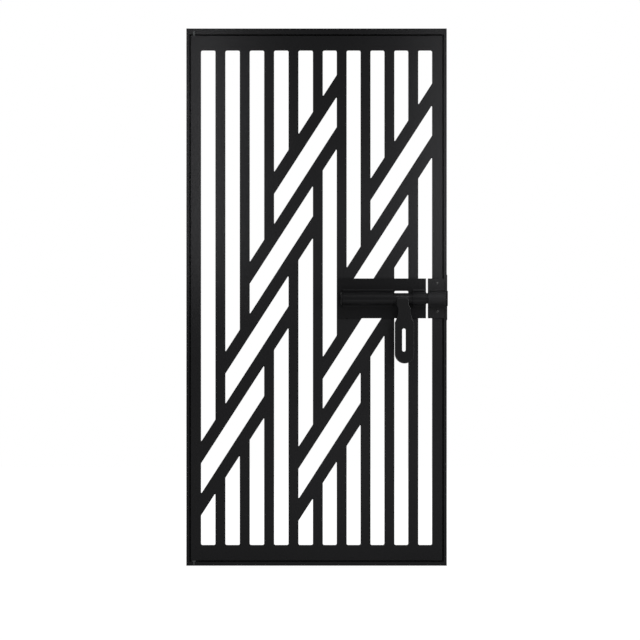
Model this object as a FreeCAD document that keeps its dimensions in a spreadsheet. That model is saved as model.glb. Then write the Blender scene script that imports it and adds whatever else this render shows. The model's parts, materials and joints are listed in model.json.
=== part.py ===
"""Steel security screen door: a barred leaf in a fixed frame, with a slide bolt and a hanging hasp.

Millimetres. X runs along the door's width, Y from the front (negative) to the back, Z up.
The origin is the middle of the sill's underside, at half the frame's depth.
"""

import FreeCAD, Part
import Sketcher
import os

doc = FreeCAD.newDocument("security_screen_door")

# Driving dimensions
SIZES = {
    # Fixed frame
    "frame_width": 1000,
    "frame_height": 2063,
    "frame_depth": 60,
    "jamb_face": 11.8,
    "head_face": 22.8,
    "sill_face": 15.5,
    "stop_width": 24,
    "stop_thickness": 4,
    "fixing_diameter": 9,
    "fixing_pitch": 500,
    "fixing_setback": 47,
    # Room round the leaf
    "side_gap": 5,
    "head_gap": 5,
    "sill_gap": 5,
    "stop_gap": 9,
    # Leaf
    "leaf_depth": 25,
    "leaf_proud": 3,
    "stile_width": 39.2,
    "top_rail_height": 56.2,
    "bottom_rail_height": 58,
    "bar_width": 38,
    "left_opening": 55.6,
    "tube_radius": 2,
    "frame_radius": 1.5,
    "diagonal_width": 45,
    "diagonal_angle": 57.2,
    "diagonal_top_margin": 94.4,
    "diagonal_foot_margin": 93.9,
    "right_group_drop": 600.6,
    # Pivots that carry the leaf
    "pivot_diameter": 10,
    "pivot_inset": 12,
    "pivot_setback": 7,
    "pivot_engagement": 25,
    "pivot_seat": 12,
    "pivot_clearance": 0.05,
    "washer_diameter": 20,
    "washer_clearance": 0.3,
    # Lock plate and bolt barrels
    "lock_height": 1026.6,
    "lock_plate_inset": 5,
    "lock_plate_height": 153,
    "lock_plate_thickness": 5,
    "window_height": 28.5,
    "window_radius": 5,
    "barrel_diameter": 50,
    "saddle_flange_width": 10,
    "saddle_flange_thickness": 3,
    "saddle_rib_width": 6,
    "saddle_rib_height": 7,
    "barrel_cap_inset": 11,
    "barrel_cap_length": 6,
    "hasp_room": 12.6,
    "keeper_plate_gap": 7,
    "keeper_overhang": 17,
    "keeper_lip": 6,
    "keeper_tube_gap": 4,
    "rivet_diameter": 12,
    "rivet_spacing": 107,
    "rivet_raise": 4,
    "rivet_sphere_latitude": 55,
    # Slide bolt
    "rod_diameter": 41,
    "rod_clearance": 0.5,
    "rod_end_gap": 8,
    "rod_tip_gap": 6.5,
    "rod_chamfer": 3,
    "bolt_throw": 13,
    "waist_diameter": 26,
    # Hasp
    "hasp_bar_offset": 16.4,
    "hasp_clearance": 0.05,
    "hasp_side_clearance": 0.3,
    "hasp_thickness": 11,
    "hasp_offset": 19,
    "head_top": 3,
    "head_radius": 12,
    "head_depth": 24,
    "head_taper": 15,
    "head_overhang": 5.9,
    "head_inset": 6.3,
    "hasp_width": 73.2,
    "hasp_length": 249,
    "neck_width": 48.8,
    "neck_length": 42,
    "shoulder_length": 50,
    "slot_width": 13.4,
    "slot_length": 88.5,
    "slot_start": 115,
    "slot_shift": 1.9,
    "barrel_side_clearance": 1.5,
    # Strike plate
    "strike_thickness": 2,
    "strike_drop": 83,
    "strike_height": 174,
    "strike_lap": 40,
    "strike_hole": 46,
    "strike_rim": 6,
}

sheet = doc.addObject("Spreadsheet::Sheet", "sizes")
for row, (alias, value) in enumerate(SIZES.items(), start=1):
    sheet.set(f"A{row}", alias)
    sheet.set(f"B{row}", str(value))
    sheet.setAlias(f"B{row}", alias)
doc.recompute()

# Places that several pieces share, as expressions on the sheet
HALF_WIDTH = "(sizes.frame_width / 2)"
JAMB_INNER = "(sizes.frame_width / 2 - sizes.jamb_face)"
HEAD_UNDER = "(sizes.frame_height - sizes.head_face)"
FRAME_FRONT = "(-sizes.frame_depth / 2)"
LEAF_HALF = f"({JAMB_INNER} - sizes.side_gap)"
LEAF_INNER = f"({LEAF_HALF} - sizes.stile_width)"
LEAF_BOTTOM = "(sizes.sill_face + sizes.sill_gap)"
LEAF_TOP = f"({HEAD_UNDER} - sizes.head_gap)"
LEAF_FRONT = f"({FRAME_FRONT} - sizes.leaf_proud)"
LEAF_BACK = f"({LEAF_FRONT} + sizes.leaf_depth)"
GRILLE_BOTTOM = f"({LEAF_BOTTOM} + sizes.bottom_rail_height)"
GRILLE_TOP = f"({LEAF_TOP} - sizes.top_rail_height)"
STOP_FRONT = f"({LEAF_BACK} + sizes.stop_gap)"
PIVOT_X = f"(-{LEAF_HALF} + sizes.pivot_inset)"
PIVOT_Y = f"({LEAF_FRONT} + sizes.pivot_setback)"
PLATE_FRONT = f"({LEAF_FRONT} - sizes.lock_plate_thickness)"
BARREL_RADIUS = "(sizes.barrel_diameter / 2)"
BORE_RADIUS = "(sizes.rod_diameter / 2 + sizes.rod_clearance)"
ROD_Y = f"({PLATE_FRONT} - {BARREL_RADIUS})"
PLATE_BOTTOM = "(sizes.lock_height - sizes.lock_plate_height / 2)"
BAR_COUNT = 9
LEFT_OPENINGS = 5
RIGHT_OPENING = (
    f"((2 * {LEAF_INNER} - {BAR_COUNT} * sizes.bar_width - {LEFT_OPENINGS} * sizes.left_opening)"
    f" / {BAR_COUNT + 1 - LEFT_OPENINGS})"
)


def bar_left(number):
    """Left edge of a bar; the openings left of the middle are a little wider than those right of it."""
    if number <= LEFT_OPENINGS:
        return f"(-{LEAF_INNER} + {number} * sizes.left_opening + {number - 1} * sizes.bar_width)"
    return f"({LEAF_INNER} - {BAR_COUNT + 1 - number} * ({RIGHT_OPENING} + sizes.bar_width))"


def bar_right(number):
    """Right edge of a bar; number 0 is the hinge stile."""
    return f"({bar_left(number)} + sizes.bar_width)" if number else f"(-{LEAF_INNER})"


# The lock takes its place from the bars that carry it and from the lock stile
LOCK_PLATE_LEFT = f"({bar_left(6)} + sizes.lock_plate_inset)"
KEEPER_LEFT = f"({LEAF_INNER} - sizes.keeper_overhang)"
LOCK_PLATE_RIGHT = f"({KEEPER_LEFT} - sizes.keeper_plate_gap)"
HASP_CENTRE = f"({bar_left(9)} - sizes.hasp_bar_offset)"
EYE_LEFT = f"({HASP_CENTRE} - sizes.neck_width / 2 - sizes.head_overhang)"
EYE_RIGHT = f"({HASP_CENTRE} + sizes.neck_width / 2 - sizes.head_inset)"
BARREL_CAP_LEFT = f"({LOCK_PLATE_LEFT} + sizes.barrel_cap_inset)"
LONG_BARREL_LEFT = f"({BARREL_CAP_LEFT} + sizes.barrel_cap_length)"
LONG_BARREL_RIGHT = f"({EYE_LEFT} - sizes.hasp_room)"
SHORT_BARREL_LEFT = f"({EYE_RIGHT} + sizes.bolt_throw + sizes.barrel_side_clearance)"

nodes = []


def number_of(expression):
    return float(sheet.evalExpression(expression))


def node(piece):
    """Note a finished piece; its label names its file."""
    nodes.append(piece)
    return piece


def bind(piece, **expressions):
    for name, expression in expressions.items():
        piece.setExpression(name.replace("__", "."), expression)
    return piece


def at(piece, x, y, z, rotation=None):
    """Place a piece at three expressions, turned by a fixed rotation."""
    if rotation:
        piece.Placement = FreeCAD.Placement(FreeCAD.Vector(), rotation)
    return bind(piece, Placement__Base__x=x, Placement__Base__y=y, Placement__Base__z=z)


def box(label, x, y, z, length, width, height):
    piece = doc.addObject("Part::Box", label)
    bind(piece, Length=length, Width=width, Height=height)
    return at(piece, x, y, z)


ALONG_X = FreeCAD.Rotation(FreeCAD.Vector(0, 1, 0), 90)
ALONG_Y = FreeCAD.Rotation(FreeCAD.Vector(1, 0, 0), 90)
ALONG_Z = FreeCAD.Rotation()


def cylinder(label, x, y, z, radius, length, rotation):
    piece = doc.addObject("Part::Cylinder", label)
    bind(piece, Radius=radius, Height=length)
    return at(piece, x, y, z, rotation)


def cut(label, base, *tools):
    """Take tools away from a base, one after the other; the last cut carries the label."""
    for index, tool in enumerate(tools, start=1):
        piece = doc.addObject("Part::Cut", label if index == len(tools) else f"{label}_step_{index}")
        piece.Base = base
        piece.Tool = tool
        base = piece
    return base


def fuse(label, *shapes):
    piece = doc.addObject("Part::MultiFuse", label)
    piece.Shapes = list(shapes)
    piece.Refine = True
    return piece


UP = FreeCAD.Vector(0, 0, 1)
ACROSS = FreeCAD.Vector(1, 0, 0)
THROUGH = FreeCAD.Vector(0, 1, 0)


def edges_along(shape, direction):
    """Names of the edges that run along a direction."""
    found = []
    for number, edge in enumerate(shape.Edges, start=1):
        first, last = (vertex.Point for vertex in edge.Vertexes)
        if abs((last - first).normalize().dot(direction)) > 0.99:
            found.append(f"Edge{number}")
    return found


def rounded_bar(label, blank_type, blank_sizes, along, radius):
    """A tube of the frame or the leaf: a bar whose four long edges are rounded."""
    body = doc.addObject("PartDesign::Body", label)
    blank = body.newObject(blank_type, f"{label}_blank")
    bind(blank, **blank_sizes)
    doc.recompute()
    rounding = body.newObject("PartDesign::Fillet", f"{label}_rounding")
    rounding.Base = (blank, edges_along(blank.Shape, along))
    bind(rounding, Radius=radius)
    body.Tip = rounding
    return body


def tube(label, x, y, z, length, depth, height, along, radius):
    blank_sizes = {"Length": length, "Width": depth, "Height": height}
    return at(rounded_bar(label, "PartDesign::AdditiveBox", blank_sizes, along, radius), x, y, z)


# A sheared band is a wedge whose own Y runs along the door and whose X runs from the back to the front.
BAND_TURN = FreeCAD.Rotation(FreeCAD.Vector(0, 0, 1), -90)


def band_sizes(run, depth, climb, upright):
    """A band that climbs over its run between upright ends."""
    return {
        "Xmin": "0",
        "X2min": "0",
        "Xmax": depth,
        "X2max": depth,
        "Ymin": "0",
        "Ymax": run,
        "Zmin": "0",
        "Zmax": upright,
        "Z2min": climb,
        "Z2max": f"{climb} + {upright}",
    }


# Fixed frame: two jambs of full height, with the head and the sill between them
def frame_tube(label, x, z, length, height, along):
    return tube(label, x, FRAME_FRONT, z, length, "sizes.frame_depth", height, along, "sizes.frame_radius")


def jamb(label, left):
    blank = frame_tube(f"{label}_tube", left, "0", "sizes.jamb_face", "sizes.frame_height", UP)
    holes = []
    for step in (-1.5, -0.5, 0.5, 1.5):
        hole = cylinder(
            f"{label}_fixing_{len(holes) + 1}",
            left,
            f"{FRAME_FRONT} + sizes.fixing_setback",
            f"sizes.frame_height / 2 + {step} * sizes.fixing_pitch",
            "sizes.fixing_diameter / 2",
            "sizes.jamb_face",
            ALONG_X,
        )
        holes.append(hole)
    return node(cut(label, blank, *holes))


jamb("hinge_jamb", f"-{HALF_WIDTH}")
jamb("lock_jamb", JAMB_INNER)


def pivot_pin(label, bottom, length):
    return cylinder(label, PIVOT_X, PIVOT_Y, bottom, "sizes.pivot_diameter / 2", length, ALONG_Z)


UPPER_PIN_BOTTOM = f"({LEAF_TOP} - sizes.pivot_engagement)"
UPPER_PIN_LENGTH = "(sizes.pivot_engagement + sizes.head_gap + sizes.pivot_seat)"
LOWER_PIN_BOTTOM = "(sizes.sill_face - sizes.pivot_seat)"
LOWER_PIN_LENGTH = "(sizes.pivot_seat + sizes.sill_gap + sizes.pivot_engagement)"

for label, bottom, height, pin_bottom, pin_length in (
    ("head", HEAD_UNDER, "sizes.head_face", UPPER_PIN_BOTTOM, UPPER_PIN_LENGTH),
    ("sill", "0", "sizes.sill_face", LOWER_PIN_BOTTOM, LOWER_PIN_LENGTH),
):
    blank = frame_tube(f"{label}_tube", f"-{JAMB_INNER}", bottom, f"2 * {JAMB_INNER}", height, ACROSS)
    node(cut(label, blank, pivot_pin(f"{label}_pin_seat", pin_bottom, pin_length)))

node(pivot_pin("upper_pivot_pin", UPPER_PIN_BOTTOM, UPPER_PIN_LENGTH))
node(pivot_pin("lower_pivot_pin", LOWER_PIN_BOTTOM, LOWER_PIN_LENGTH))

WASHER_THICKNESS = "(sizes.sill_gap - sizes.washer_clearance)"
washer_disc = cylinder(
    "washer_disc", PIVOT_X, PIVOT_Y, "sizes.sill_face", "sizes.washer_diameter / 2", WASHER_THICKNESS, ALONG_Z
)
node(cut("thrust_washer", washer_disc, pivot_pin("washer_hole", LOWER_PIN_BOTTOM, LOWER_PIN_LENGTH)))

# Stop strips: flats behind the leaf's edge, which close the gap round it
STOP_INNER = f"({JAMB_INNER} - sizes.stop_width)"
STOP_HEIGHT = f"{HEAD_UNDER} - sizes.sill_face"
STOP_LENGTH = f"2 * {STOP_INNER}"
for label, left, bottom, length, height in (
    ("hinge_stop", f"-{JAMB_INNER}", "sizes.sill_face", "sizes.stop_width", STOP_HEIGHT),
    ("lock_stop", STOP_INNER, "sizes.sill_face", "sizes.stop_width", STOP_HEIGHT),
    ("head_stop", f"-{STOP_INNER}", f"{HEAD_UNDER} - sizes.stop_width", STOP_LENGTH, "sizes.stop_width"),
    ("sill_stop", f"-{STOP_INNER}", "sizes.sill_face", STOP_LENGTH, "sizes.stop_width"),
):
    node(box(label, left, STOP_FRONT, bottom, length, "sizes.stop_thickness", height))

# Strike plate: a strip welded to the lock jamb's outer side, with a tongue in front that the bolt enters
strike_strip = box(
    "strike_strip",
    HALF_WIDTH,
    FRAME_FRONT,
    "sizes.lock_height - sizes.strike_drop",
    "sizes.strike_thickness",
    "sizes.strike_lap",
    "sizes.strike_height",
)
TONGUE_FRONT = f"({ROD_Y} - sizes.strike_hole / 2 - sizes.strike_rim)"
strike_tongue = box(
    "strike_tongue",
    HALF_WIDTH,
    TONGUE_FRONT,
    "sizes.lock_height - sizes.strike_hole / 2 - sizes.strike_rim",
    "sizes.strike_thickness",
    f"{FRAME_FRONT} + sizes.strike_lap - {TONGUE_FRONT}",
    "sizes.strike_hole + 2 * sizes.strike_rim",
)
strike_hole = box(
    "strike_hole_tool",
    HALF_WIDTH,
    f"{ROD_Y} - sizes.strike_hole / 2",
    "sizes.lock_height - sizes.strike_hole / 2",
    "sizes.strike_thickness",
    "sizes.strike_hole",
    "sizes.strike_hole",
)
node(cut("strike_plate", fuse("strike_blank", strike_strip, strike_tongue), strike_hole))


# Leaf frame: two stiles of full height, with the rails between them
def leaf_tube(label, x, z, length, height, along):
    return tube(label, x, LEAF_FRONT, z, length, "sizes.leaf_depth", height, along, "sizes.tube_radius")


STILE_HEIGHT = f"{LEAF_TOP} - {LEAF_BOTTOM}"
PIN_HOLE_DEPTH = "(sizes.pivot_engagement + sizes.washer_clearance)"


def pin_hole(label, bottom):
    radius = "sizes.pivot_diameter / 2 + sizes.pivot_clearance"
    return cylinder(label, PIVOT_X, PIVOT_Y, bottom, radius, PIN_HOLE_DEPTH, ALONG_Z)


stile_tube = leaf_tube(
    "hinge_stile_tube", f"-{LEAF_HALF}", LEAF_BOTTOM, "sizes.stile_width", STILE_HEIGHT, UP
)
upper_hole = pin_hole("upper_pin_hole", f"{LEAF_TOP} - {PIN_HOLE_DEPTH}")
lower_hole = pin_hole("lower_pin_hole", LEAF_BOTTOM)
node(cut("hinge_stile", stile_tube, upper_hole, lower_hole))
node(leaf_tube("lock_stile", LEAF_INNER, LEAF_BOTTOM, "sizes.stile_width", STILE_HEIGHT, UP))
RAIL_LENGTH = f"2 * {LEAF_INNER}"
node(leaf_tube("top_rail", f"-{LEAF_INNER}", GRILLE_TOP, RAIL_LENGTH, "sizes.top_rail_height", ACROSS))
node(leaf_tube("bottom_rail", f"-{LEAF_INNER}", LEAF_BOTTOM, RAIL_LENGTH, "sizes.bottom_rail_height", ACROSS))

# Grille: upright bars, and two groups of diagonals that stop at them
SLOPE = "tan(sizes.diagonal_angle)"
DIAGONAL_UPRIGHT = "(sizes.diagonal_width / cos(sizes.diagonal_angle))"
DIAGONALS = 5
# The first left diagonal ends under the top rail at bar 6, and the last right one starts over the bottom
# rail at bar 4; the others are spread evenly between them. A group's height is that of its first
# diagonal's centre line where it crosses the door's middle.
LEFT_GROUP_HEIGHT = (
    f"({GRILLE_TOP} - sizes.diagonal_top_margin - {DIAGONAL_UPRIGHT} / 2 - {SLOPE} * {bar_left(6)})"
)
RIGHT_GROUP_HEIGHT = f"({LEFT_GROUP_HEIGHT} - sizes.right_group_drop)"
DIAGONAL_RISE = (
    f"(({RIGHT_GROUP_HEIGHT} + {SLOPE} * {bar_right(4)} - {DIAGONAL_UPRIGHT} / 2 - {GRILLE_BOTTOM}"
    f" - sizes.diagonal_foot_margin) / {DIAGONALS - 1})"
)
GROUP_HEIGHTS = {"left": LEFT_GROUP_HEIGHT, "right": RIGHT_GROUP_HEIGHT}


def diagonal_underside(group, number, x):
    """Height of a diagonal's lower edge where it crosses x."""
    return (
        f"({GROUP_HEIGHTS[group]} + {SLOPE} * {x} - {number - 1} * {DIAGONAL_RISE}"
        f" - {DIAGONAL_UPRIGHT} / 2)"
    )


# Each diagonal runs from the right edge of one bar to the left edge of another (0 and 10 are the stiles).
DIAGONAL_ENDS = {
    "left": ((3, 6), (2, 6), (1, 5), (0, 4), (0, 3)),
    "right": ((7, 10), (6, 10), (5, 9), (4, 8), (4, 7)),
}
# Each bar is missing from the top of one diagonal to the foot of another.
BAR_BREAKS = {
    1: (("left", 4, 5),),
    2: (("left", 3, 5),),
    3: (("left", 2, 4),),
    4: (("left", 1, 3),),
    5: (("left", 1, 2), ("right", 4, 5)),
    6: (("right", 3, 5),),
    7: (("right", 2, 4),),
    8: (("right", 1, 3),),
    9: (("right", 1, 2),),
}

BAR_HEIGHT = f"{GRILLE_TOP} - {GRILLE_BOTTOM}"
for number, breaks in BAR_BREAKS.items():
    label = f"vertical_bar_{number}"
    blank = leaf_tube(f"{label}_tube", bar_left(number), GRILLE_BOTTOM, "sizes.bar_width", BAR_HEIGHT, UP)
    bands = []
    # The cut reaches a bar's width and a leaf's depth past the bar on every side.
    left = f"({bar_left(number)} - sizes.bar_width)"
    run = "(3 * sizes.bar_width)"
    for group, upper, lower in breaks:
        band = doc.addObject("Part::Wedge", f"{label}_break_{len(bands) + 1}")
        height = f"({lower - upper} * {DIAGONAL_RISE} + {DIAGONAL_UPRIGHT})"
        bind(band, **band_sizes(run, "3 * sizes.leaf_depth", f"{SLOPE} * {run}", height))
        back = f"{LEAF_BACK} + sizes.leaf_depth"
        bands.append(at(band, left, back, diagonal_underside(group, lower, left), BAND_TURN))
    node(cut(label, blank, *bands))

CLIMB = FreeCAD.Vector(0, 1, number_of(SLOPE)).normalize()
for group, ends in DIAGONAL_ENDS.items():
    for number, (first, last) in enumerate(ends, start=1):
        left = bar_right(first)
        right = bar_left(last) if last <= BAR_COUNT else LEAF_INNER
        run = f"({right} - {left})"
        diagonal = rounded_bar(
            f"{group}_diagonal_{number}",
            "PartDesign::AdditiveWedge",
            band_sizes(run, "sizes.leaf_depth", f"{SLOPE} * {run}", DIAGONAL_UPRIGHT),
            CLIMB,
            "sizes.tube_radius",
        )
        node(at(diagonal, left, LEAF_BACK, diagonal_underside(group, number, left), BAND_TURN))

# Lock plate: a flat plate across the bars, with a window above the rod where the hasp hangs
plate_blank = box(
    "lock_plate_blank",
    LOCK_PLATE_LEFT,
    PLATE_FRONT,
    PLATE_BOTTOM,
    f"{LOCK_PLATE_RIGHT} - {LOCK_PLATE_LEFT}",
    "sizes.lock_plate_thickness",
    "sizes.lock_plate_height",
)
window = tube(
    "lock_plate_window",
    bar_right(8),
    PLATE_FRONT,
    "sizes.lock_height",
    f"{bar_left(9)} - {bar_right(8)}",
    "sizes.lock_plate_thickness",
    "sizes.window_height",
    THROUGH,
    "sizes.window_radius",
)
node(cut("lock_plate", plate_blank, window))


def half_round(label, left, length):
    """A half-round block whose flat back lies on the lock plate."""
    front = cylinder(f"{label}_round", left, ROD_Y, "sizes.lock_height", BARREL_RADIUS, length, ALONG_X)
    back = box(
        f"{label}_back",
        left,
        ROD_Y,
        f"sizes.lock_height - {BARREL_RADIUS}",
        length,
        f"{PLATE_FRONT} - {ROD_Y}",
        "sizes.barrel_diameter",
    )
    return front, back


FLANGE_REACH = f"({BARREL_RADIUS} + sizes.saddle_flange_width)"


def flange(label, left, length):
    """The strips along both sides of a half-round, by which it is welded on, and their thick outer edges."""
    pieces = []
    rib = ("sizes.saddle_rib_height", "sizes.saddle_rib_width")
    for part, bottom, depth, height in (
        ("flange", f"-{FLANGE_REACH}", "sizes.saddle_flange_thickness", f"2 * {FLANGE_REACH}"),
        ("lower_rib", f"-{FLANGE_REACH}", *rib),
        ("upper_rib", f"{FLANGE_REACH} - sizes.saddle_rib_width", *rib),
    ):
        piece = box(
            f"{label}_{part}",
            left,
            f"{PLATE_FRONT} - {depth}",
            f"sizes.lock_height + {bottom}",
            length,
            depth,
            height,
        )
        pieces.append(piece)
    return pieces


def bore(label, left, length):
    return cylinder(label, left, ROD_Y, "sizes.lock_height", BORE_RADIUS, length, ALONG_X)


def barrel(label, left, right):
    length = f"({right} - {left})"
    saddle = fuse(f"{label}_saddle", *half_round(label, left, length), *flange(label, left, length))
    return node(cut(label, saddle, bore(f"{label}_bore", left, length)))


barrel("long_barrel", LONG_BARREL_LEFT, LONG_BARREL_RIGHT)
barrel("short_barrel", SHORT_BARREL_LEFT, LOCK_PLATE_RIGHT)
node(fuse("barrel_cap", *half_round("cap", BARREL_CAP_LEFT, "sizes.barrel_cap_length")))

# Keeper: a plate on the lock stile with the last length of barrel, in one piece
KEEPER_PLATE_WIDTH = f"({LEAF_HALF} + sizes.keeper_lip - {KEEPER_LEFT})"
KEEPER_TUBE_LENGTH = f"({HALF_WIDTH} - sizes.keeper_tube_gap - {KEEPER_LEFT})"
keeper_plate = box(
    "keeper_plate",
    KEEPER_LEFT,
    PLATE_FRONT,
    PLATE_BOTTOM,
    KEEPER_PLATE_WIDTH,
    "sizes.lock_plate_thickness",
    "sizes.lock_plate_height",
)
keeper_blank = fuse(
    "keeper_blank",
    keeper_plate,
    *half_round("keeper", KEEPER_LEFT, KEEPER_TUBE_LENGTH),
    *flange("keeper", KEEPER_LEFT, KEEPER_PLATE_WIDTH),
)
node(cut("keeper", keeper_blank, bore("keeper_bore", KEEPER_LEFT, KEEPER_TUBE_LENGTH)))


def rivet(label, height):
    """A domed head: the cap of a sphere that is cut at a latitude."""
    piece = doc.addObject("Part::Sphere", label)
    cap_radius = "sizes.rivet_diameter / 2 / cos(sizes.rivet_sphere_latitude)"
    bind(piece, Radius=cap_radius, Angle1="sizes.rivet_sphere_latitude")
    stile_middle = f"{LEAF_INNER} + sizes.stile_width / 2"
    sunk = f"{PLATE_FRONT} + {cap_radius} * sin(sizes.rivet_sphere_latitude)"
    return node(at(piece, stile_middle, sunk, height, ALONG_Y))


rivet("upper_rivet", "sizes.lock_height + sizes.rivet_raise + sizes.rivet_spacing / 2")
rivet("lower_rivet", "sizes.lock_height + sizes.rivet_raise - sizes.rivet_spacing / 2")


def hold(sketch, kind, element, end, expression):
    index = sketch.addConstraint(Sketcher.Constraint(kind, -1, 1, element, end, number_of(expression)))
    sketch.setExpression(f"Constraints[{index}]", expression)


def fixed_point(sketch, element, end, x, y):
    """Hold one point of a sketch element at two expressions."""
    hold(sketch, "DistanceX", element, end, x)
    hold(sketch, "DistanceY", element, end, y)


def origin_plane(body, role):
    return next(feature for feature in body.Origin.OriginFeatures if feature.Role == role)


def new_sketch(body, name):
    sketch = body.newObject("Sketcher::SketchObject", name)
    sketch.AttachmentSupport = (origin_plane(body, "XZ_Plane"), [""])
    sketch.MapMode = "FlatFace"
    return sketch


def closed_outline(sketch, corners, arcs):
    """Draw an outline through corners; arcs gives the middle point and centre of the runs that are round."""
    places = [FreeCAD.Vector(number_of(x), number_of(y), 0) for x, y in corners]
    count = len(corners)
    for index in range(count):
        following = (index + 1) % count
        ends = [(places[index], corners[index]), (places[following], corners[following])]
        if index not in arcs:
            element = sketch.addGeometry(Part.LineSegment(ends[0][0], ends[1][0]))
            fixed_point(sketch, element, 1, *ends[0][1])
            fixed_point(sketch, element, 2, *ends[1][1])
            continue
        middle_x, middle_y, centre_x, centre_y = arcs[index]
        middle = FreeCAD.Vector(number_of(middle_x), number_of(middle_y), 0)
        # A sketch runs its arcs anticlockwise, so an arc that bends the other way is drawn from its far end.
        if (middle - ends[0][0]).cross(ends[1][0] - middle).z < 0:
            ends.reverse()
        element = sketch.addGeometry(Part.Arc(ends[0][0], middle, ends[1][0]))
        # An arc is held by its first end, its centre and one distance of its second end: the upright one,
        # unless that end lies straight above or below the centre.
        fixed_point(sketch, element, 1, *ends[0][1])
        fixed_point(sketch, element, 3, centre_x, centre_y)
        last = ends[1][0] - FreeCAD.Vector(number_of(centre_x), number_of(centre_y), 0)
        if abs(last.x) > abs(last.y):
            hold(sketch, "DistanceY", element, 2, ends[1][1][1])
        else:
            hold(sketch, "DistanceX", element, 2, ends[1][1][0])


# Slide bolt: a turned rod with chamfered ends, and a waist in which the hasp's eye turns
ROD_LEFT = f"({LONG_BARREL_LEFT} + sizes.rod_end_gap)"
ROD_TIP = f"({HALF_WIDTH} - sizes.rod_tip_gap)"
ROD_LENGTH = f"({ROD_TIP} - {ROD_LEFT})"
ROD_RADIUS = "(sizes.rod_diameter / 2)"
CHAMFERED_RADIUS = f"({ROD_RADIUS} - sizes.rod_chamfer)"
WAIST_RADIUS = "(sizes.waist_diameter / 2)"
WAIST_LEFT = f"({EYE_LEFT} - sizes.hasp_side_clearance - {ROD_LEFT})"
WAIST_RIGHT = f"({EYE_RIGHT} + sizes.hasp_side_clearance - {ROD_LEFT})"

rod_body = doc.addObject("PartDesign::Body", "bolt_rod")
rod_profile = new_sketch(rod_body, "rod_profile")
closed_outline(
    rod_profile,
    [
        ("0", "0"),
        (ROD_LENGTH, "0"),
        (ROD_LENGTH, CHAMFERED_RADIUS),
        (f"{ROD_LENGTH} - sizes.rod_chamfer", ROD_RADIUS),
        (WAIST_RIGHT, ROD_RADIUS),
        (WAIST_RIGHT, WAIST_RADIUS),
        (WAIST_LEFT, WAIST_RADIUS),
        (WAIST_LEFT, ROD_RADIUS),
        ("sizes.rod_chamfer", ROD_RADIUS),
        ("0", CHAMFERED_RADIUS),
    ],
    {},
)
rod_turning = rod_body.newObject("PartDesign::Revolution", "rod_turning")
rod_turning.Profile = rod_profile
rod_turning.ReferenceAxis = (rod_profile, ["H_Axis"])
rod_turning.Angle = 360
rod_body.Tip = rod_turning
node(at(rod_body, ROD_LEFT, ROD_Y, "sizes.lock_height"))

# Hasp: a thick plate with a rounded end and a slot, whose head lies on the front of an eye round the rod
NECK_HALF = "(sizes.neck_width / 2)"
HASP_HALF = "(sizes.hasp_width / 2)"
SHOULDER_TOP = "sizes.neck_length"
SHOULDER_FOOT = "(sizes.neck_length + sizes.shoulder_length)"
ROUND_CENTRE = f"(sizes.hasp_length - {HASP_HALF})"
SHOULDER_STEP = f"({HASP_HALF} - {NECK_HALF})"
# The shoulder is an arc that leaves the neck's side without a corner.
SHOULDER_RADIUS = f"((sizes.shoulder_length ^ 2 + {SHOULDER_STEP} ^ 2) / (2 * {SHOULDER_STEP}))"
SHOULDER_CENTRE_X = f"({NECK_HALF} + {SHOULDER_RADIUS})"
SHOULDER_HALF_TURN = f"atan({SHOULDER_STEP} / sizes.shoulder_length)"
SHOULDER_MID_X = f"({NECK_HALF} + {SHOULDER_RADIUS} * (1 - cos({SHOULDER_HALF_TURN})))"
SHOULDER_MID_Z = f"({SHOULDER_TOP} + {SHOULDER_RADIUS} * sin({SHOULDER_HALF_TURN}))"
HEAD_LEFT = f"({NECK_HALF} + sizes.head_overhang)"
HEAD_RIGHT = f"({NECK_HALF} - sizes.head_inset)"
HEAD_FOOT = "(sizes.head_depth + sizes.head_taper)"
HEAD_ROUND_Z = "(sizes.head_top - sizes.head_radius)"
HEAD_ROUND_LEFT = f"({HEAD_LEFT} - sizes.head_radius)"
HEAD_ROUND_RIGHT = f"({HEAD_RIGHT} - sizes.head_radius)"
HEAD_MID = "(sizes.head_radius * cos(45))"

hasp_body = doc.addObject("PartDesign::Body", "hasp_plate")
hasp_outline = new_sketch(hasp_body, "hasp_outline")
closed_outline(
    hasp_outline,
    [
        (f"-{HEAD_ROUND_LEFT}", "sizes.head_top"),
        (HEAD_ROUND_RIGHT, "sizes.head_top"),
        (HEAD_RIGHT, HEAD_ROUND_Z),
        (HEAD_RIGHT, "-sizes.head_depth"),
        (NECK_HALF, f"-{HEAD_FOOT}"),
        (NECK_HALF, f"-{SHOULDER_TOP}"),
        (HASP_HALF, f"-{SHOULDER_FOOT}"),
        (HASP_HALF, f"-{ROUND_CENTRE}"),
        (f"-{HASP_HALF}", f"-{ROUND_CENTRE}"),
        (f"-{HASP_HALF}", f"-{SHOULDER_FOOT}"),
        (f"-{NECK_HALF}", f"-{SHOULDER_TOP}"),
        (f"-{NECK_HALF}", f"-{HEAD_FOOT}"),
        (f"-{HEAD_LEFT}", "-sizes.head_depth"),
        (f"-{HEAD_LEFT}", HEAD_ROUND_Z),
    ],
    {
        1: (
            f"{HEAD_ROUND_RIGHT} + {HEAD_MID}",
            f"{HEAD_ROUND_Z} + {HEAD_MID}",
            HEAD_ROUND_RIGHT,
            HEAD_ROUND_Z,
        ),
        5: (SHOULDER_MID_X, f"-{SHOULDER_MID_Z}", SHOULDER_CENTRE_X, f"-{SHOULDER_TOP}"),
        7: ("0", "-sizes.hasp_length", "0", f"-{ROUND_CENTRE}"),
        9: (f"-{SHOULDER_MID_X}", f"-{SHOULDER_MID_Z}", f"-{SHOULDER_CENTRE_X}", f"-{SHOULDER_TOP}"),
        13: (
            f"-({HEAD_ROUND_LEFT} + {HEAD_MID})",
            f"{HEAD_ROUND_Z} + {HEAD_MID}",
            f"-{HEAD_ROUND_LEFT}",
            HEAD_ROUND_Z,
        ),
    },
)
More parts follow.
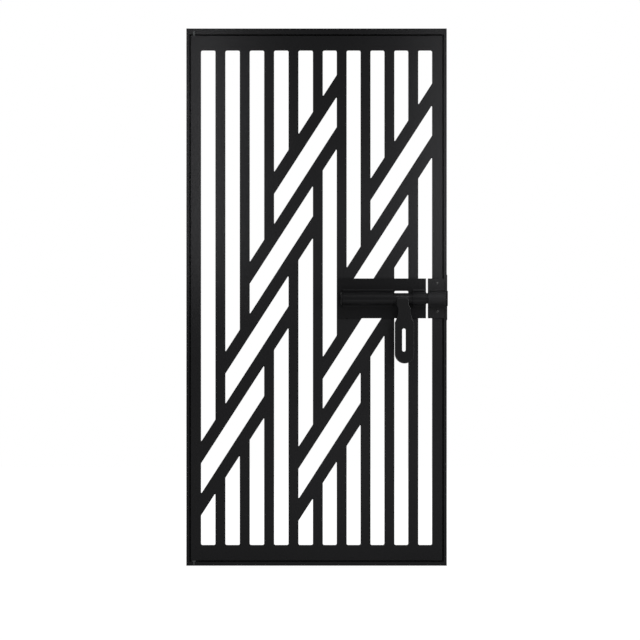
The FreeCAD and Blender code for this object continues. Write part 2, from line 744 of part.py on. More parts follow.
hasp_pad = hasp_body.newObject("PartDesign::Pad", "hasp_pad")
hasp_pad.Profile = hasp_outline
hasp_pad.Midplane = True
bind(hasp_pad, Length="sizes.hasp_thickness")
doc.recompute()
full_plate_volume = hasp_pad.Shape.Volume

# The slot lies a little left of the plate's middle.
SLOT_HALF = "(sizes.slot_width / 2)"
SLOT_MIDDLE = "(-sizes.slot_shift)"
SLOT_LEFT = f"({SLOT_MIDDLE} - {SLOT_HALF})"
SLOT_RIGHT = f"({SLOT_MIDDLE} + {SLOT_HALF})"
SLOT_UPPER = f"(sizes.slot_start + {SLOT_HALF})"
SLOT_LOWER = f"(sizes.slot_start + sizes.slot_length - {SLOT_HALF})"
slot_outline = new_sketch(hasp_body, "slot_outline")
closed_outline(
    slot_outline,
    [
        (SLOT_RIGHT, f"-{SLOT_UPPER}"),
        (SLOT_RIGHT, f"-{SLOT_LOWER}"),
        (SLOT_LEFT, f"-{SLOT_LOWER}"),
        (SLOT_LEFT, f"-{SLOT_UPPER}"),
    ],
    {
        1: (SLOT_MIDDLE, f"-({SLOT_LOWER} + {SLOT_HALF})", SLOT_MIDDLE, f"-{SLOT_LOWER}"),
        3: (SLOT_MIDDLE, "-sizes.slot_start", SLOT_MIDDLE, f"-{SLOT_UPPER}"),
    },
)
hasp_slot = hasp_body.newObject("PartDesign::Pocket", "hasp_slot")
hasp_slot.Profile = slot_outline
hasp_slot.Midplane = True
bind(hasp_slot, Length="2 * sizes.hasp_thickness")
hasp_body.Tip = hasp_slot
at(hasp_body, HASP_CENTRE, f"{ROD_Y} - sizes.hasp_offset", "sizes.lock_height")


def eye_cylinder(label, radius):
    return cylinder(label, EYE_LEFT, ROD_Y, "sizes.lock_height", radius, f"{EYE_RIGHT} - {EYE_LEFT}", ALONG_X)


eye_round = eye_cylinder("eye_round", ROD_RADIUS)
eye_bore = eye_cylinder("eye_bore", f"{WAIST_RADIUS} + sizes.hasp_clearance")
node(cut("hasp", fuse("hasp_blank", hasp_body, eye_round), eye_bore))

# Check every object before any file is written
doc.recompute()
for item in doc.Objects:
    if "Invalid" in item.State or "Error" in item.State:
        raise SystemExit(f"{item.Label} failed: {item.State}")
for piece in nodes:
    if piece.Shape.isNull() or not piece.Shape.isValid():
        raise SystemExit(f"{piece.Label} has no valid shape")
if hasp_slot.Shape.Volume >= full_plate_volume:
    raise SystemExit("the hasp's slot cut nothing")

os.makedirs("parts", exist_ok=True)
for piece in nodes:
    piece.Shape.exportStep(f"parts/{piece.Label}.step")
    print(f"{piece.Label}: {len(piece.Shape.Solids)} solids, {piece.Shape.Volume / 1000:.1f} cm3")
print(f"{len(nodes)} nodes")
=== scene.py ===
# %% [markdown]
# # A steel security screen door
# The door is a barred leaf of welded steel tubes, hung in a slim fixed frame and shut by a slide
# bolt with a hanging hasp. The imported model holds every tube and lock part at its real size. This
# lesson adds what the workshop adds to them, which is softened edges, weld metal and coats of paint,
# and then lights the door in a white studio.

# %% Load the door
import bmesh
import bpy
import json
import math
from collections import namedtuple
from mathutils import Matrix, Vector


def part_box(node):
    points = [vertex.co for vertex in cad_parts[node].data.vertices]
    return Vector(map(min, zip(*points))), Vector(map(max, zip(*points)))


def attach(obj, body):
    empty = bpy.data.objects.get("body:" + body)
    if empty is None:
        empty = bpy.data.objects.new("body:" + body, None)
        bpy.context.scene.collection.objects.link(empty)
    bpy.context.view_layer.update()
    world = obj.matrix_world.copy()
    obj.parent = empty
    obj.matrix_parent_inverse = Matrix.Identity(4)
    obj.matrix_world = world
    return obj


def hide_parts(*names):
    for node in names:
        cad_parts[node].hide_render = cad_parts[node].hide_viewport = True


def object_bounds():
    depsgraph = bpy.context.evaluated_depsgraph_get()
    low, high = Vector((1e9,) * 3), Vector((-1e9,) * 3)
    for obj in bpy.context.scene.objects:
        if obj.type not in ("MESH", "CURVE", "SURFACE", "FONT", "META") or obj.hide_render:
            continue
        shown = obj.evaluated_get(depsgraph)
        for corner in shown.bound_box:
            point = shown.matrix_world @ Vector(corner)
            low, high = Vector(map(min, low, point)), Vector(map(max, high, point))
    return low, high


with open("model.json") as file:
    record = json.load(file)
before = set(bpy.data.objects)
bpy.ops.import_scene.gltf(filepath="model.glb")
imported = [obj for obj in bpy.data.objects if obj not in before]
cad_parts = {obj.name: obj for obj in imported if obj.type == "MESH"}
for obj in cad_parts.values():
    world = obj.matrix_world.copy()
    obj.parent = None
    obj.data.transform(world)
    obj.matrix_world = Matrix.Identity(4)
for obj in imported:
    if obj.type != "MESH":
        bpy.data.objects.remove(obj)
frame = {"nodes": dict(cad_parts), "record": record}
cad_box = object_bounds()
MM = 0.001
bodies = frame["record"]["behaviour"]["bodies"]
body_of_node = {node: body for body, members in bodies.items() for node in members}

# %% [markdown]
# ## The view
# The photograph is taken straight on and from far away, so that no side of a bar shows. A long lens
# from 14 m gives the same flat drawing. The door stands a little above and left of the picture's
# middle, which a small lens shift gives without turning the camera.

# %% Camera
IMAGE_SIDE = 640
DOOR_CENTRE_PX = (316.55, 297.1)
MM_PER_PX = 3.839
CAMERA_DISTANCE = 14.0
FAR_CLIP = 100

leaf_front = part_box("lock_stile")[0].y
door_middle = (cad_box[0].z + cad_box[1].z) / 2
view_width = IMAGE_SIDE * MM_PER_PX * MM


def add_object(name, data):
    """Put a new object into the scene."""
    added = bpy.data.objects.new(name, data)
    bpy.context.scene.collection.objects.link(added)
    return added


camera_data = bpy.data.cameras.new("straight_view")
camera_data.lens = camera_data.sensor_width * CAMERA_DISTANCE / view_width
camera_data.shift_x = 0.5 - DOOR_CENTRE_PX[0] / IMAGE_SIDE
camera_data.shift_y = DOOR_CENTRE_PX[1] / IMAGE_SIDE - 0.5
camera_data.clip_end = FAR_CLIP
camera = add_object("straight_view", camera_data)
camera.location = (0, leaf_front - CAMERA_DISTANCE, door_middle)
camera.rotation_euler = (math.radians(90), 0, 0)
bpy.context.scene.camera = camera
print(f"lens {camera_data.lens:.0f} mm for a view {view_width:.2f} m wide")

# %% [markdown]
# ## Tools for finishes
# Colours are picked as sRGB hex values, the way a paint chart gives them, and a shader works on
# linear light, so one function turns the first into the second. One more function adds a node, sets
# it and links it.


# %% Colour and node helpers
def linear(hex_code):
    """A colour from a chart, such as "#1a1b1c", as linear light."""
    channels = [int(hex_code[i : i + 2], 16) / 255 for i in (1, 3, 5)]
    return (*(c / 12.92 if c <= 0.04045 else ((c + 0.055) / 1.055) ** 2.4 for c in channels), 1)


def add_node(tree, kind, inputs=(), **settings):
    """Add a node; a value for an input is a plain value or the output that feeds it."""
    node = tree.nodes.new(kind)
    for name, value in settings.items():
        setattr(node, name, value)
    for name, value in dict(inputs).items():
        if isinstance(value, bpy.types.NodeSocket):
            tree.links.new(value, node.inputs[name])
        else:
            node.inputs[name].default_value = value
    return node


def new_material(name):
    """An empty material, its node tree and the Object coordinates that its patterns read."""
    material = bpy.data.materials.new(name)
    material.use_nodes = True
    tree = material.node_tree
    tree.nodes.clear()
    return material, tree, add_node(tree, "ShaderNodeTexCoord").outputs["Object"]


def per_mm(size):
    """The scale of a pattern whose cells are this many millimetres wide."""
    return 1 / (size * MM)


print("black chart value #1c1c1d is", [round(c, 4) for c in linear("#1c1c1d")[:3]])

# %% [markdown]
# ## Powder coat
# The frame and the leaf are powder coated: a dry paint that is sprayed on with a charge and melted in
# an oven. It is even and satin, with a faint orange-peel ripple a couple of millimetres wide, which
# the picture can't resolve, so here it is drawn a few times coarser. Film thickness drifts over a
# hand's width, and that shows only as a slow change of sheen. The other paints differ in their
# patterns and values but end in the same nodes, so one function makes that end for all of them.

# %% Satin black powder coat
FILM_DRIFT_MM = 160
ORANGE_PEEL_MM = 7
POWDER_LOOK = {
    "tones": ("#1b1b1c", "#1f1f20"),
    "roughness": (0.46, 0.56),
    "relief": 0.25,
    "relief_mm": 0.2,
    "gloss": 0.03,
}


def add_coat(tree, tone, sheen, relief, look):
    """End a paint, with one pattern for its colour, one for its roughness and one for its relief."""
    dark, light = (linear(code) for code in look["tones"])
    colour = add_node(tree, "ShaderNodeMix", {0: tone, 6: dark, 7: light}, data_type="RGBA")
    smooth, rough = look["roughness"]
    roughness = add_node(
        tree, "ShaderNodeMapRange", {"Value": sheen, "To Min": smooth, "To Max": rough}
    )
    bump = add_node(
        tree,
        "ShaderNodeBump",
        {"Height": relief, "Strength": look["relief"], "Distance": look["relief_mm"] * MM},
    )
    shader = add_node(
        tree,
        "ShaderNodeBsdfPrincipled",
        {
            "Base Color": colour.outputs[2],
            "Roughness": roughness.outputs["Result"],
            "Normal": bump.outputs["Normal"],
            "Specular IOR Level": look["gloss"],
        },
    )
    add_node(tree, "ShaderNodeOutputMaterial", {"Surface": shader.outputs["BSDF"]})


powder_coat, tree, place = new_material("satin_black_powder_coat")
drift = add_node(
    tree, "ShaderNodeTexNoise", {"Vector": place, "Scale": per_mm(FILM_DRIFT_MM), "Detail": 3}
).outputs["Fac"]
peel = add_node(
    tree, "ShaderNodeTexNoise", {"Vector": place, "Scale": per_mm(ORANGE_PEEL_MM), "Detail": 2}
).outputs["Fac"]
add_coat(tree, drift, drift, peel, POWDER_LOOK)
print("made", powder_coat.name)

# %% [markdown]
# ## Lock enamel
# The bolt, its barrels and their cap, the lock plate and the strike plate are bought in and painted
# with a glossier black enamel before they are welded on. Enamel flows out more than powder, so its
# ripple is wider, and it lies over drawn steel whose lines run along the rod. Those are finer than
# the picture can show and are drawn wider here.

# %% Black enamel on the lock
ENAMEL_RIPPLE_MM = 9
DRAWN_LINE_MM = 2
DRAWN_LINE_LENGTH = 25
ENAMEL_LOOK = {
    "tones": ("#0e0e0f", "#121213"),
    "roughness": (0.3, 0.4),
    "relief": 0.3,
    "relief_mm": 0.2,
    "gloss": 0.05,
}

enamel, tree, place = new_material("black_lock_enamel")
ripple = add_node(
    tree, "ShaderNodeTexNoise", {"Vector": place, "Scale": per_mm(ENAMEL_RIPPLE_MM), "Detail": 2}
).outputs["Fac"]
along = add_node(tree, "ShaderNodeMapping", {"Vector": place, "Scale": (1 / DRAWN_LINE_LENGTH, 1, 1)})
lines = add_node(
    tree,
    "ShaderNodeTexNoise",
    {"Vector": along.outputs["Vector"], "Scale": per_mm(DRAWN_LINE_MM)},
).outputs["Fac"]
add_coat(tree, ripple, lines, ripple, ENAMEL_LOOK)
print("made", enamel.name)

# %% [markdown]
# ## Paint on forgings
# The hasp and the rivets are forged, and a forging is smooth and a little wavy from the dies. Its
# black paint is thin and semi-gloss, so the rounded rim catches a clear highlight. The waves are wide
# and low, and they show only in how that highlight wanders. The rivet heads stand proud and hands rub
# them, so their paint is polished and shows the white surroundings as a bright spot.

# %% Semi-gloss black on forgings
DIE_WAVE_MM = 22
FORGED_LOOK = {
    "tones": ("#0e0e0f", "#121213"),
    "roughness": (0.14, 0.2),
    "relief": 0.3,
    "relief_mm": 0.4,
}
HASP_GLOSS = 0.1
RIVET_GLOSS = 0.22


def forged_paint(name, gloss):
    material, tree, place = new_material(name)
    waves = add_node(
        tree, "ShaderNodeTexNoise", {"Vector": place, "Scale": per_mm(DIE_WAVE_MM), "Detail": 2}
    ).outputs["Fac"]
    add_coat(tree, waves, waves, waves, {**FORGED_LOOK, "gloss": gloss})
    return material


forging_paint = forged_paint("semi_gloss_black_forging", HASP_GLOSS)
rubbed_paint = forged_paint("rubbed_black_rivet", RIVET_GLOSS)
print("made", forging_paint.name, "and", rubbed_paint.name)

# %% [markdown]
# ## Pivot steel
# The pivot pins and the washer under the leaf are turned steel, blackened against rust. Fine rings
# from the tool run round them, drawn here a few times wider than they are, and a film of grease dulls
# them.

# %% Blackened turned steel
TURNING_PITCH_MM = 1.5
# A wave texture of scale 1 runs through this angle in a unit of length.
WAVE_RADIANS = 20
RING_WANDER = 0.6
STEEL_TONES = ("#2b2c2d", "#383939")
STEEL_ROUGHNESS = (0.4, 0.52)

steel, tree, place = new_material("blackened_turned_steel")
ring_scale = math.tau / WAVE_RADIANS * per_mm(TURNING_PITCH_MM)
rings = add_node(
    tree,
    "ShaderNodeTexWave",
    {"Vector": place, "Scale": ring_scale, "Distortion": RING_WANDER},
    bands_direction="Z",
).outputs["Fac"]
dark, light = (linear(code) for code in STEEL_TONES)
colour = add_node(tree, "ShaderNodeMix", {0: rings, 6: dark, 7: light}, data_type="RGBA")
smooth, rough = STEEL_ROUGHNESS
sheen = add_node(tree, "ShaderNodeMapRange", {"Value": rings, "To Min": smooth, "To Max": rough})
shader = add_node(
    tree,
    "ShaderNodeBsdfPrincipled",
    {"Base Color": colour.outputs[2], "Roughness": sheen.outputs["Result"], "Metallic": 1},
)
add_node(tree, "ShaderNodeOutputMaterial", {"Surface": shader.outputs["BSDF"]})
print("made", steel.name)

# %% [markdown]
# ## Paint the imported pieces
# The record already says which of the four finishes each piece has, so the finishes are dealt out
# from it. Only the rubbed paint waits for the copies of the rivets, further on.

# %% Deal out the finishes
FINISHES = {
    "frame_black": powder_coat,
    "lock_black": enamel,
    "forged_black": forging_paint,
    "pivot_steel": steel,
}
slot_of_node = {row["node"]: row["material_slot"] for row in frame["record"]["subparts"]}
for name, piece in frame["nodes"].items():
    piece.data.materials.clear()
    piece.data.materials.append(FINISHES[slot_of_node[name]])
print(f"painted {len(slot_of_node)} pieces")

# %% [markdown]
# ## Softened edges
# No edge on a painted door is sharp: plate is sheared and ground before it is painted, and paint
# rounds it further. The flat lock parts are modelled with square edges, so each gets a copy whose
# outer edges are bevelled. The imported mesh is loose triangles, so the copy's doubles are merged and
# its flat faces joined before the bevel, or the bevel would find no edge to follow.

# %% Find the outer edges
MERGE_MM = 0.01
FLAT_DEGREES = 0.5
EDGE_DEGREES = 35


def merged_copy(node_name):
    """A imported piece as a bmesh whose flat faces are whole."""
    bm = bmesh.new()
    bm.from_mesh(frame["nodes"][node_name].data)
    bmesh.ops.remove_doubles(bm, verts=bm.verts, dist=MERGE_MM * MM)
    flat = math.radians(FLAT_DEGREES)
    bmesh.ops.dissolve_limit(bm, angle_limit=flat, verts=bm.verts, edges=bm.edges)
    return bm


def is_outer_edge(edge):
    corner = math.radians(EDGE_DEGREES)
    return edge.is_manifold and edge.is_convex and edge.calc_face_angle() > corner


bm = merged_copy("lock_plate")
print(f"the lock plate has {sum(is_outer_edge(e) for e in bm.edges)} outer edges")
bm.free()

# %% Soften the lock plate
SMOOTH_DEGREES = 40
EDGE_SEGMENTS = 3
PLATE_EDGE = 1.2


def finish_piece(name, bm, body, slot_name, smooth_angle=SMOOTH_DEGREES, paint=None):
    """Turn a bmesh into a piece that rides on a body, shaded smooth except at real corners."""
    mesh = bpy.data.meshes.new(name)
    bm.to_mesh(mesh)
    bm.free()
    mesh.shade_smooth()
    mesh.set_sharp_from_angle(angle=math.radians(smooth_angle))
    mesh.materials.append(paint or FINISHES[slot_name])
    piece = add_object(name, mesh)
    # Large flat faces keep their own normal, and only the small bevels beside them shade round.
    flatten = piece.modifiers.new("flat_faces", "WEIGHTED_NORMAL")
    flatten.keep_sharp = True
    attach(piece, body)
    return piece


def stand_in(node_name, bm, **finish):
    """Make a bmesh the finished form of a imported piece."""
    body, slot_name = body_of_node[node_name], slot_of_node[node_name]
    piece = finish_piece(f"{node_name}_finished", bm, body, slot_name, **finish)
    print(f"{piece.name}: {len(piece.data.polygons)} faces")
    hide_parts(node_name)


def round_edges(bm, edges, radius, segments):
    bmesh.ops.bevel(
        bm,
        geom=edges,
        offset=radius * MM,
        offset_type="OFFSET",
        affect="EDGES",
        segments=segments,
        profile=0.5,
        material=-1,
        clamp_overlap=True,
    )


def soften(node_name, bm, radius):
    """Round a copy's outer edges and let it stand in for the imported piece."""
    round_edges(bm, [e for e in bm.edges if is_outer_edge(e)], radius, EDGE_SEGMENTS)
    stand_in(node_name, bm)


soften("lock_plate", merged_copy("lock_plate"), PLATE_EDGE)

# %% [markdown]
# ## Saddles
# The keeper and the two barrels lie in saddles that have a rib along each edge. The upper rib leans
# back a little, so its face looks up and catches the light. Pushing back the rib's top corners, before
# its edges are rounded, leans the whole face.

# %% Lean the upper ribs
RIB_LEAN = 1.9
TOUCH_MM = 0.05
rib_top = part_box("long_barrel")[1].z
plate_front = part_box("lock_plate")[0].y


def lean_rib(bm):
    """Push the top of a saddle's upper rib back, so that its face looks up a little."""
    for v in bm.verts:
        if abs(v.co.z - rib_top) < TOUCH_MM * MM and v.co.y < plate_front - RIB_LEAN * MM:
            v.co.y += RIB_LEAN * MM


for name in ("keeper", "long_barrel", "short_barrel"):
    bm = merged_copy(name)
    lean_rib(bm)
    soften(name, bm, PLATE_EDGE)

# %% [markdown]
# ## Cap, strike plate and stops
# The barrel's cap is well rounded, and the thin strike plate and the stop strips only lose their burr.
# They need nothing but the bevel, so a table of radii is enough.

# %% Soften the small parts
EDGE_RADII = {
    "barrel_cap": 2,
    "strike_plate": 0.8,
    "hinge_stop": 0.8,
    "lock_stop": 0.8,
    "head_stop": 0.8,
    "sill_stop": 0.8,
}
for name, radius in EDGE_RADII.items():
    soften(name, merged_copy(name), radius)

# %% [markdown]
# ## Rivets
# A rivet's head is a dome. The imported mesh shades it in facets, which would break up the bright spot
# on it, so a merged copy with smooth shading and the rubbed paint takes its place.

# %% Smooth rivet heads
for name in ("upper_rivet", "lower_rivet"):
    stand_in(name, merged_copy(name), paint=rubbed_paint)

# %% [markdown]
# ## Forged hasp
# The hasp is a forging: the rim of its front is well rounded, and its slot is only deburred. The edges
# of the slot are told from those of the rim by how near they lie to the hasp's middle line, away from
# its head and its end.

# %% Round the hasp's rim
RIM_RADIUS = 4
RIM_SEGMENTS = 5
SLOT_RADIUS = 1.2
SLOT_SEGMENTS = 2
SLOT_REACH = 12
END_DEPTH = 20
HEAD_DEPTH = 100

hasp_low, hasp_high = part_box("hasp")
hasp_middle = (hasp_low.x + hasp_high.x) / 2
bm = merged_copy("hasp")


def on_front(edge):
    return all(abs(v.co.y - hasp_low.y) < TOUCH_MM * MM for v in edge.verts)


def in_slot(edge):
    low, high = hasp_low.z + END_DEPTH * MM, hasp_high.z - HEAD_DEPTH * MM
    reach = SLOT_REACH * MM
    return all(abs(v.co.x - hasp_middle) < reach and low < v.co.z < high for v in edge.verts)


rim = [e for e in bm.edges if on_front(e) and is_outer_edge(e) and not in_slot(e)]
round_edges(bm, rim, RIM_RADIUS, RIM_SEGMENTS)
slot_edges = [e for e in bm.edges if is_outer_edge(e) and in_slot(e)]
round_edges(bm, slot_edges, SLOT_RADIUS, SLOT_SEGMENTS)
stand_in("hasp", bm)
print(f"{len(rim)} rim edges, {len(slot_edges)} slot edges")

# %% [markdown]
# ## Weld metal
# Every bar and diagonal is welded where it meets another tube. Weld metal fills the inner corners of
# the openings with a small round, and on the faces it is ground flush, so that no joint shows. A joint
# is drawn once, as a line with the direction of the tube that butts there and that of the tube it
# meets. From it come the fillets in the two corners beside the tube, and the flush strips on the front
# and the back. How the diagonals climb is read from the boxes of two of them that differ in length.

# %% How the diagonals run
DIAGONALS = 5
diagonal_boxes = {
    (group, n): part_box(f"{group}_diagonal_{n}")
    for group in ("left", "right")
    for n in range(1, DIAGONALS + 1)
}
short_low, short_high = diagonal_boxes["left", 1]
long_low, long_high = diagonal_boxes["left", 2]
extra_height = (long_high.z - long_low.z) - (short_high.z - short_low.z)
extra_run = (long_high.x - long_low.x) - (short_high.x - short_low.x)
slope = extra_height / extra_run
upright = (short_high.z - short_low.z) - slope * (short_high.x - short_low.x)
climb = Vector((1, 0, slope)).normalized()
climb_normal = Vector((-climb.z, 0, climb.x))


def diagonal_edge(key, x, upper):
    """A point on a diagonal's lower or upper edge."""
    low = diagonal_boxes[key][0]
    return Vector((x, 0, low.z + slope * (x - low.x) + (upright if upper else 0)))


print(f"the diagonals climb at {math.degrees(math.atan(slope)):.1f} degrees")

# %% Where the tubes meet
UP, ACROSS = Vector((0, 0, 1)), Vector((1, 0, 0))
# Each upright stops on the upper edge of one diagonal and starts again under the lower edge of another.
BAR_BREAKS = {
    1: (("left", 4, 5),),
    2: (("left", 3, 5),),
    3: (("left", 2, 4),),
    4: (("left", 1, 3),),
    5: (("left", 1, 2), ("right", 4, 5)),
    6: (("right", 3, 5),),
    7: (("right", 2, 4),),
    8: (("right", 1, 3),),
    9: (("right", 1, 2),),
}
# The way the butting tube leaves is away, and into is the way into the other tube. An end is open where
# it lies in the corner of an opening.
Joint = namedtuple("Joint", "start end away into open_ends", defaults=[(True, True)])

joints = []
for n, breaks in BAR_BREAKS.items():
    low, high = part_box(f"vertical_bar_{n}")
    for z, away in ((low.z, UP), (high.z, -UP)):
        joints.append(Joint(Vector((low.x, 0, z)), Vector((high.x, 0, z)), away, -away))
    for group, above, below in breaks:
        for number, upper in ((above, True), (below, False)):
            ends = [diagonal_edge((group, number), x, upper) for x in (low.x, high.x)]
            away, into = (UP, -climb_normal) if upper else (-UP, climb_normal)
            joints.append(Joint(*ends, away, into))
for key, (low, high) in diagonal_boxes.items():
    for x, away, into in ((low.x, climb, -ACROSS), (high.x, -climb, ACROSS)):
        ends = [diagonal_edge(key, x, upper) for upper in (False, True)]
        joints.append(Joint(*ends, away, into))
for rail, open_ends in (("top_rail", (True, False)), ("bottom_rail", (False, True))):
    low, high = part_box(rail)
    for x, away in ((low.x, ACROSS), (high.x, -ACROSS)):
        ends = [Vector((x, 0, z)) for z in (low.z, high.z)]
        joints.append(Joint(*ends, away, -away, open_ends))
print(f"{len(joints)} joints")

# %% [markdown]
# ## Fillets in the corners
# A wide corner takes a good bead of weld. A sharp one, where a bar runs into a diagonal, has little
# room for the torch and takes less, and beside the lock plate the plate's own weld adds to it. The round
# is spun as an arc between the two edges, closed to the corner and extruded through the leaf's depth.

# %% Corner welds
WELD_RADIUS = 6
TIGHT_WELD_RADIUS = 1.5
PLATE_WELD_RADIUS = 4
PLATE_WELD_REACH = 8
SHARP_DEGREES = 60
WELD_INSET = 1.0
ARC_STEPS = 6
leaf_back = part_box("lock_stile")[1].y
plate_low, plate_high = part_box("lock_plate")


def beside_plate(corner):
    """True where the lock plate covers a corner or ends beside it."""
    reach = PLATE_WELD_REACH * MM
    in_height = plate_low.z - reach < corner.z < plate_high.z + reach
    return plate_low.x < corner.x < plate_high.x and in_height


def sweep(bm, face, vec):
    """Draw a section out into a closed solid."""
    swept = bmesh.ops.extrude_face_region(bm, geom=[face])["geom"]
    far = [v for v in swept if isinstance(v, bmesh.types.BMVert)]
    bmesh.ops.translate(bm, verts=far, vec=vec)


def corner_fillet(bm, corner, first, second):
    """Fill the corner between two edges with a concave round that runs through the leaf's depth."""
    opening = first.angle(second)
    if opening > math.radians(SHARP_DEGREES):
        radius = WELD_RADIUS * MM
    else:
        radius = (PLATE_WELD_RADIUS if beside_plate(corner) else TIGHT_WELD_RADIUS) * MM
    reach = radius / math.tan(opening / 2)
    centre = corner + (first + second).normalized() * (radius / math.sin(opening / 2))
    start = bm.verts.new(corner + first * reach)
    turn = math.pi - opening
    if first.cross(second).y > 0:
        turn = -turn
    bmesh.ops.spin(bm, geom=[start], cent=centre, axis=(0, 1, 0), angle=turn, steps=ARC_STEPS)
    bm.verts.ensure_lookup_table()
    arc = bm.verts[-(ARC_STEPS + 1) :]
    face = bm.faces.new([bm.verts.new(corner), *arc])
    bmesh.ops.translate(bm, verts=face.verts, vec=(0, leaf_front + WELD_INSET * MM, 0))
    sweep(bm, face, (0, leaf_back - leaf_front - 2 * WELD_INSET * MM, 0))


bm = bmesh.new()
corners = 0
for joint in joints:
    along = (joint.end - joint.start).normalized()
    ends = ((joint.start, -along), (joint.end, along))
    for (corner, outward), is_open in zip(ends, joint.open_ends):
        if is_open:
            corner_fillet(bm, corner, outward, joint.away)
            corners += 1
bmesh.ops.recalc_face_normals(bm, faces=bm.faces)
corner_welds = finish_piece("corner_welds", bm, "leaf", "frame_black")
print(f"{corners} corners, {len(corner_welds.data.polygons)} faces")

# %% [markdown]
# ## Ground welds on the faces
# A tube's edges are rounded, so a groove is left where another tube butts against it. The welder fills
# it and grinds it flush. Each filling is a three-sided strip, extruded along the joint.

# %% Ground strips
TUBE_RADIUS = 2
FRAME_RADIUS = 1.5
STRIP_DEGREES = 20


def ground_strip(bm, ends, into, face_y, inward, radius):
    """Fill the groove beside a rounded tube edge, flush with the face."""
    start, end = ends
    across = into * radius * MM
    deep = Vector((0, inward * radius * MM, 0))
    lift = Vector((0, face_y, 0))
    section = [bm.verts.new(start + lift + offset) for offset in (Vector(), across, deep)]
    sweep(bm, bm.faces.new(section), end - start)


bm = bmesh.new()
for joint in joints:
    for face_y, inward in ((leaf_front, 1), (leaf_back, -1)):
        ground_strip(bm, (joint.start, joint.end), joint.into, face_y, inward, TUBE_RADIUS)
bmesh.ops.recalc_face_normals(bm, faces=bm.faces)
leaf_strips = finish_piece("leaf_ground_welds", bm, "leaf", "frame_black", STRIP_DEGREES)

bm = bmesh.new()
frame_low, frame_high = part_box("hinge_jamb")
for rail in ("head", "sill"):
    low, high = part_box(rail)
    for x, into in ((low.x, -ACROSS), (high.x, ACROSS)):
        ends = [Vector((x, 0, z)) for z in (low.z, high.z)]
        for face_y, inward in ((frame_low.y, 1), (frame_high.y, -1)):
            ground_strip(bm, ends, into, face_y, inward, FRAME_RADIUS)
bmesh.ops.recalc_face_normals(bm, faces=bm.faces)
frame_strips = finish_piece("frame_ground_welds", bm, "frame", "frame_black", STRIP_DEGREES)
print(f"strips: {len(leaf_strips.data.polygons)} and {len(frame_strips.data.polygons)} faces")

# %% [markdown]
# ## Welds under the barrels
# Under each barrel and the keeper a fillet weld closes the groove between the round underside and the
# saddle's lower rib, where water would stand. Its section is a triangle with a hollow face, placed from
# the rod's axis, and one extrusion draws it along the saddle.

# %% Fillet welds
RIB_HEIGHT = 7
WELD_START = Vector((0, 8, -23.5)) * MM
WELD_ROOT = Vector((0, 18.5, -17)) * MM
HOLLOW = Vector((0, 0.7, 0.7)) * MM
FOOT_SINK = 0.5
END_MARGIN = 1.5

rod_low, rod_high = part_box("bolt_rod")
rod_axis = Vector((0, (rod_low.y + rod_high.y) / 2, (rod_low.z + rod_high.z) / 2))
start = rod_axis + WELD_START
foot_y = plate_front - (RIB_HEIGHT - FOOT_SINK) * MM
foot = Vector((0, foot_y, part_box("long_barrel")[0].z))
section = [start, (start + foot) / 2 + HOLLOW, foot, rod_axis + WELD_ROOT]
for name in ("long_barrel", "short_barrel", "keeper"):
    low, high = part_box(name)
    length = high.x - low.x - 2 * END_MARGIN * MM
    near_end = Vector((low.x + END_MARGIN * MM, 0, 0))
    bm = bmesh.new()
    face = bm.faces.new([bm.verts.new(point + near_end) for point in section])
    sweep(bm, face, (length, 0, 0))
    bmesh.ops.recalc_face_normals(bm, faces=bm.faces)
    weld = finish_piece(f"{name}_weld", bm, body_of_node[name], slot_of_node[name])
    print(f"{weld.name}: {length / MM:.0f} mm long")

# %% [markdown]
# ## The studio
# A key lamp stands far off to the upper right, so the hasp and the barrels throw their shadows to the
# lower left. Four small lamps near the latch draw the highlights on the barrels and on the hasp's rim.
# A low lamp fills the foot of the door, and two upright strips stand close in front of the leaf's upper
# corners: their light falls off within a few bars, so the stiles glow and the middle of the grille
# stays dark. Two more lamps behind the door show its back.

# %% Lamps
LAMPS = [
    # name, place, point it faces, width and height, power
    ("key", (4.6, -9.4, 4.4), (0, 0, 1.0), (1.4, 1.4), 200),
    ("latch_lamp", (0.5, -0.9, 1.62), (0.42, -0.06, 1.03), (0.25, 0.25), 1.2),
    ("barrel_lamp", (0.2, -0.42, 1.4), (0.2, -0.06, 1.03), (0.3, 0.06), 0.45),
    ("latch_bounce", (0.25, -0.6, 0.35), (0.25, -0.06, 1.0), (0.6, 0.4), 0.75),
    ("rim_lamp", (1.0, -0.5, 1.18), (0.357, -0.085, 0.957), (0.15, 0.2), 2.2),
    ("low_fill", (0, -1.3, 0.12), (0, 0, 0.3), (1.6, 0.2), 5.4),
    ("right_strip", (0.5, -0.28, 1.62), (0.5, 0, 1.62), (0.1, 1.05), 2.0),
    ("left_strip", (-0.435, -0.31, 1.62), (-0.455, 0, 1.62), (0.1, 1.05), 2.8),
    ("back_right", (3.6, 5.4, 3.4), (0, 0, 1.0), (1.6, 1.6), 310),
    ("back_left", (-4.2, 4.2, 2.6), (0, 0, 1.0), (1.6, 1.6), 170),
]
for name, place, target, (width, height), power in LAMPS:
    lamp = bpy.data.lights.new(name, "AREA")
    lamp.shape = "RECTANGLE"
    lamp.size, lamp.size_y = width, height
    lamp.energy = power
    lamp_object = add_object(name, lamp)
    lamp_object.location = place
    aim = Vector(target) - Vector(place)
    lamp_object.rotation_euler = aim.to_track_quat("-Z", "Y").to_euler()
print(f"{len(LAMPS)} lamps")

# %% [markdown]
# ## White ground
# Lamps that burn a floor to white would grey the black paint. So the world and the floor are white by
# themselves, for the rays of the camera, of reflections and of see-through surfaces only, and all other
# rays meet a dim sky and plain paper. The lamps stay at a plain level and black paint stays black.

# %% World
AMBIENT = 0.14


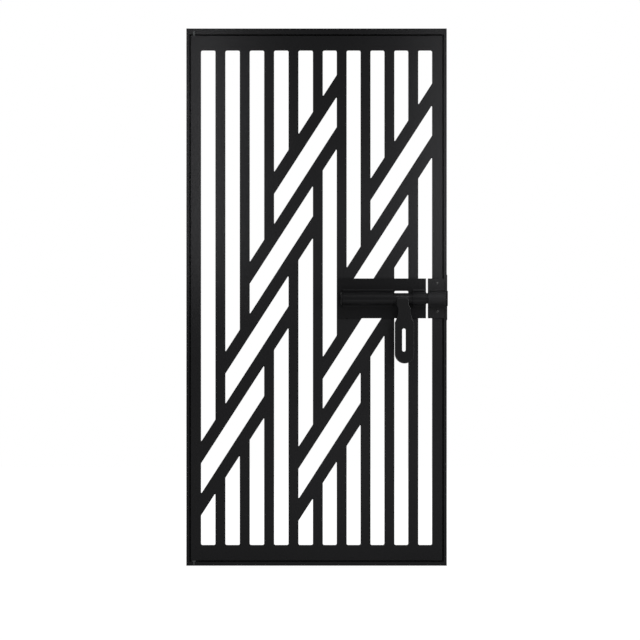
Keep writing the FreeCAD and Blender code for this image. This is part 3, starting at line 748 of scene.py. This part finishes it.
def seen_directly(tree):
    """1 for rays of the camera, of reflections and of see-through surfaces, or else 0."""
    path = add_node(tree, "ShaderNodeLightPath")
    either = add_node(
        tree,
        "ShaderNodeMath",
        {0: path.outputs["Is Camera Ray"], 1: path.outputs["Is Glossy Ray"]},
        operation="MAXIMUM",
    )
    return add_node(
        tree,
        "ShaderNodeMath",
        {0: either.outputs["Value"], 1: path.outputs["Is Transmission Ray"]},
        operation="MAXIMUM",
    ).outputs["Value"]


world = bpy.data.worlds.new("white_studio")
world.use_nodes = True
tree = world.node_tree
tree.nodes.clear()
level = add_node(
    tree, "ShaderNodeMapRange", {"Value": seen_directly(tree), "To Min": AMBIENT, "To Max": 1}
)
sky = add_node(
    tree,
    "ShaderNodeBackground",
    {"Color": (1, 1, 1, 1), "Strength": level.outputs["Result"]},
)
add_node(tree, "ShaderNodeOutputWorld", {"Surface": sky.outputs["Background"]})
bpy.context.scene.world = world
bpy.context.scene.view_settings.view_transform = "Standard"
print(f"white world, {AMBIENT} for the rays that light the door")

# %% [markdown]
# ## Floor
# The floor is white paper. What the camera sees of it is a glow close to white and a little light from
# the lamps on top, so the door's shadow still shows. Near the door the glow is a shade lower, which
# leaves the lamps more to add there.

# %% Studio floor
FLOOR_SIDE = 16
PAPER = "#f2f2f1"
LAMP_SHARE = 0.12
GLOW_REACH = (0.6, 1.6)
GLOW = (0.95, 1)

floor_material, tree, place = new_material("white_studio_paper")
paper = add_node(tree, "ShaderNodeBsdfDiffuse", {"Color": linear(PAPER)})
shaded = add_node(tree, "ShaderNodeBsdfDiffuse", {"Color": (LAMP_SHARE, LAMP_SHARE, LAMP_SHARE, 1)})
distance = add_node(tree, "ShaderNodeVectorMath", {0: place}, operation="LENGTH")
glow_level = add_node(
    tree,
    "ShaderNodeMapRange",
    {
        "Value": distance.outputs["Value"],
        "From Min": GLOW_REACH[0],
        "From Max": GLOW_REACH[1],
        "To Min": GLOW[0],
        "To Max": GLOW[1],
    },
)
glow = add_node(tree, "ShaderNodeEmission", {"Strength": glow_level.outputs["Result"]})
lit = add_node(
    tree, "ShaderNodeAddShader", {0: shaded.outputs["BSDF"], 1: glow.outputs["Emission"]}
)
surface = add_node(
    tree,
    "ShaderNodeMixShader",
    {0: seen_directly(tree), 1: paper.outputs["BSDF"], 2: lit.outputs["Shader"]},
)
add_node(tree, "ShaderNodeOutputMaterial", {"Surface": surface.outputs["Shader"]})

bm = bmesh.new()
bmesh.ops.create_grid(bm, x_segments=1, y_segments=1, size=FLOOR_SIDE / 2)
floor_mesh = bpy.data.meshes.new("studio_floor")
bm.to_mesh(floor_mesh)
bm.free()
floor_mesh.materials.append(floor_material)
floor = add_object("studio_floor", floor_mesh)
print(f"floor {FLOOR_SIDE} m square")
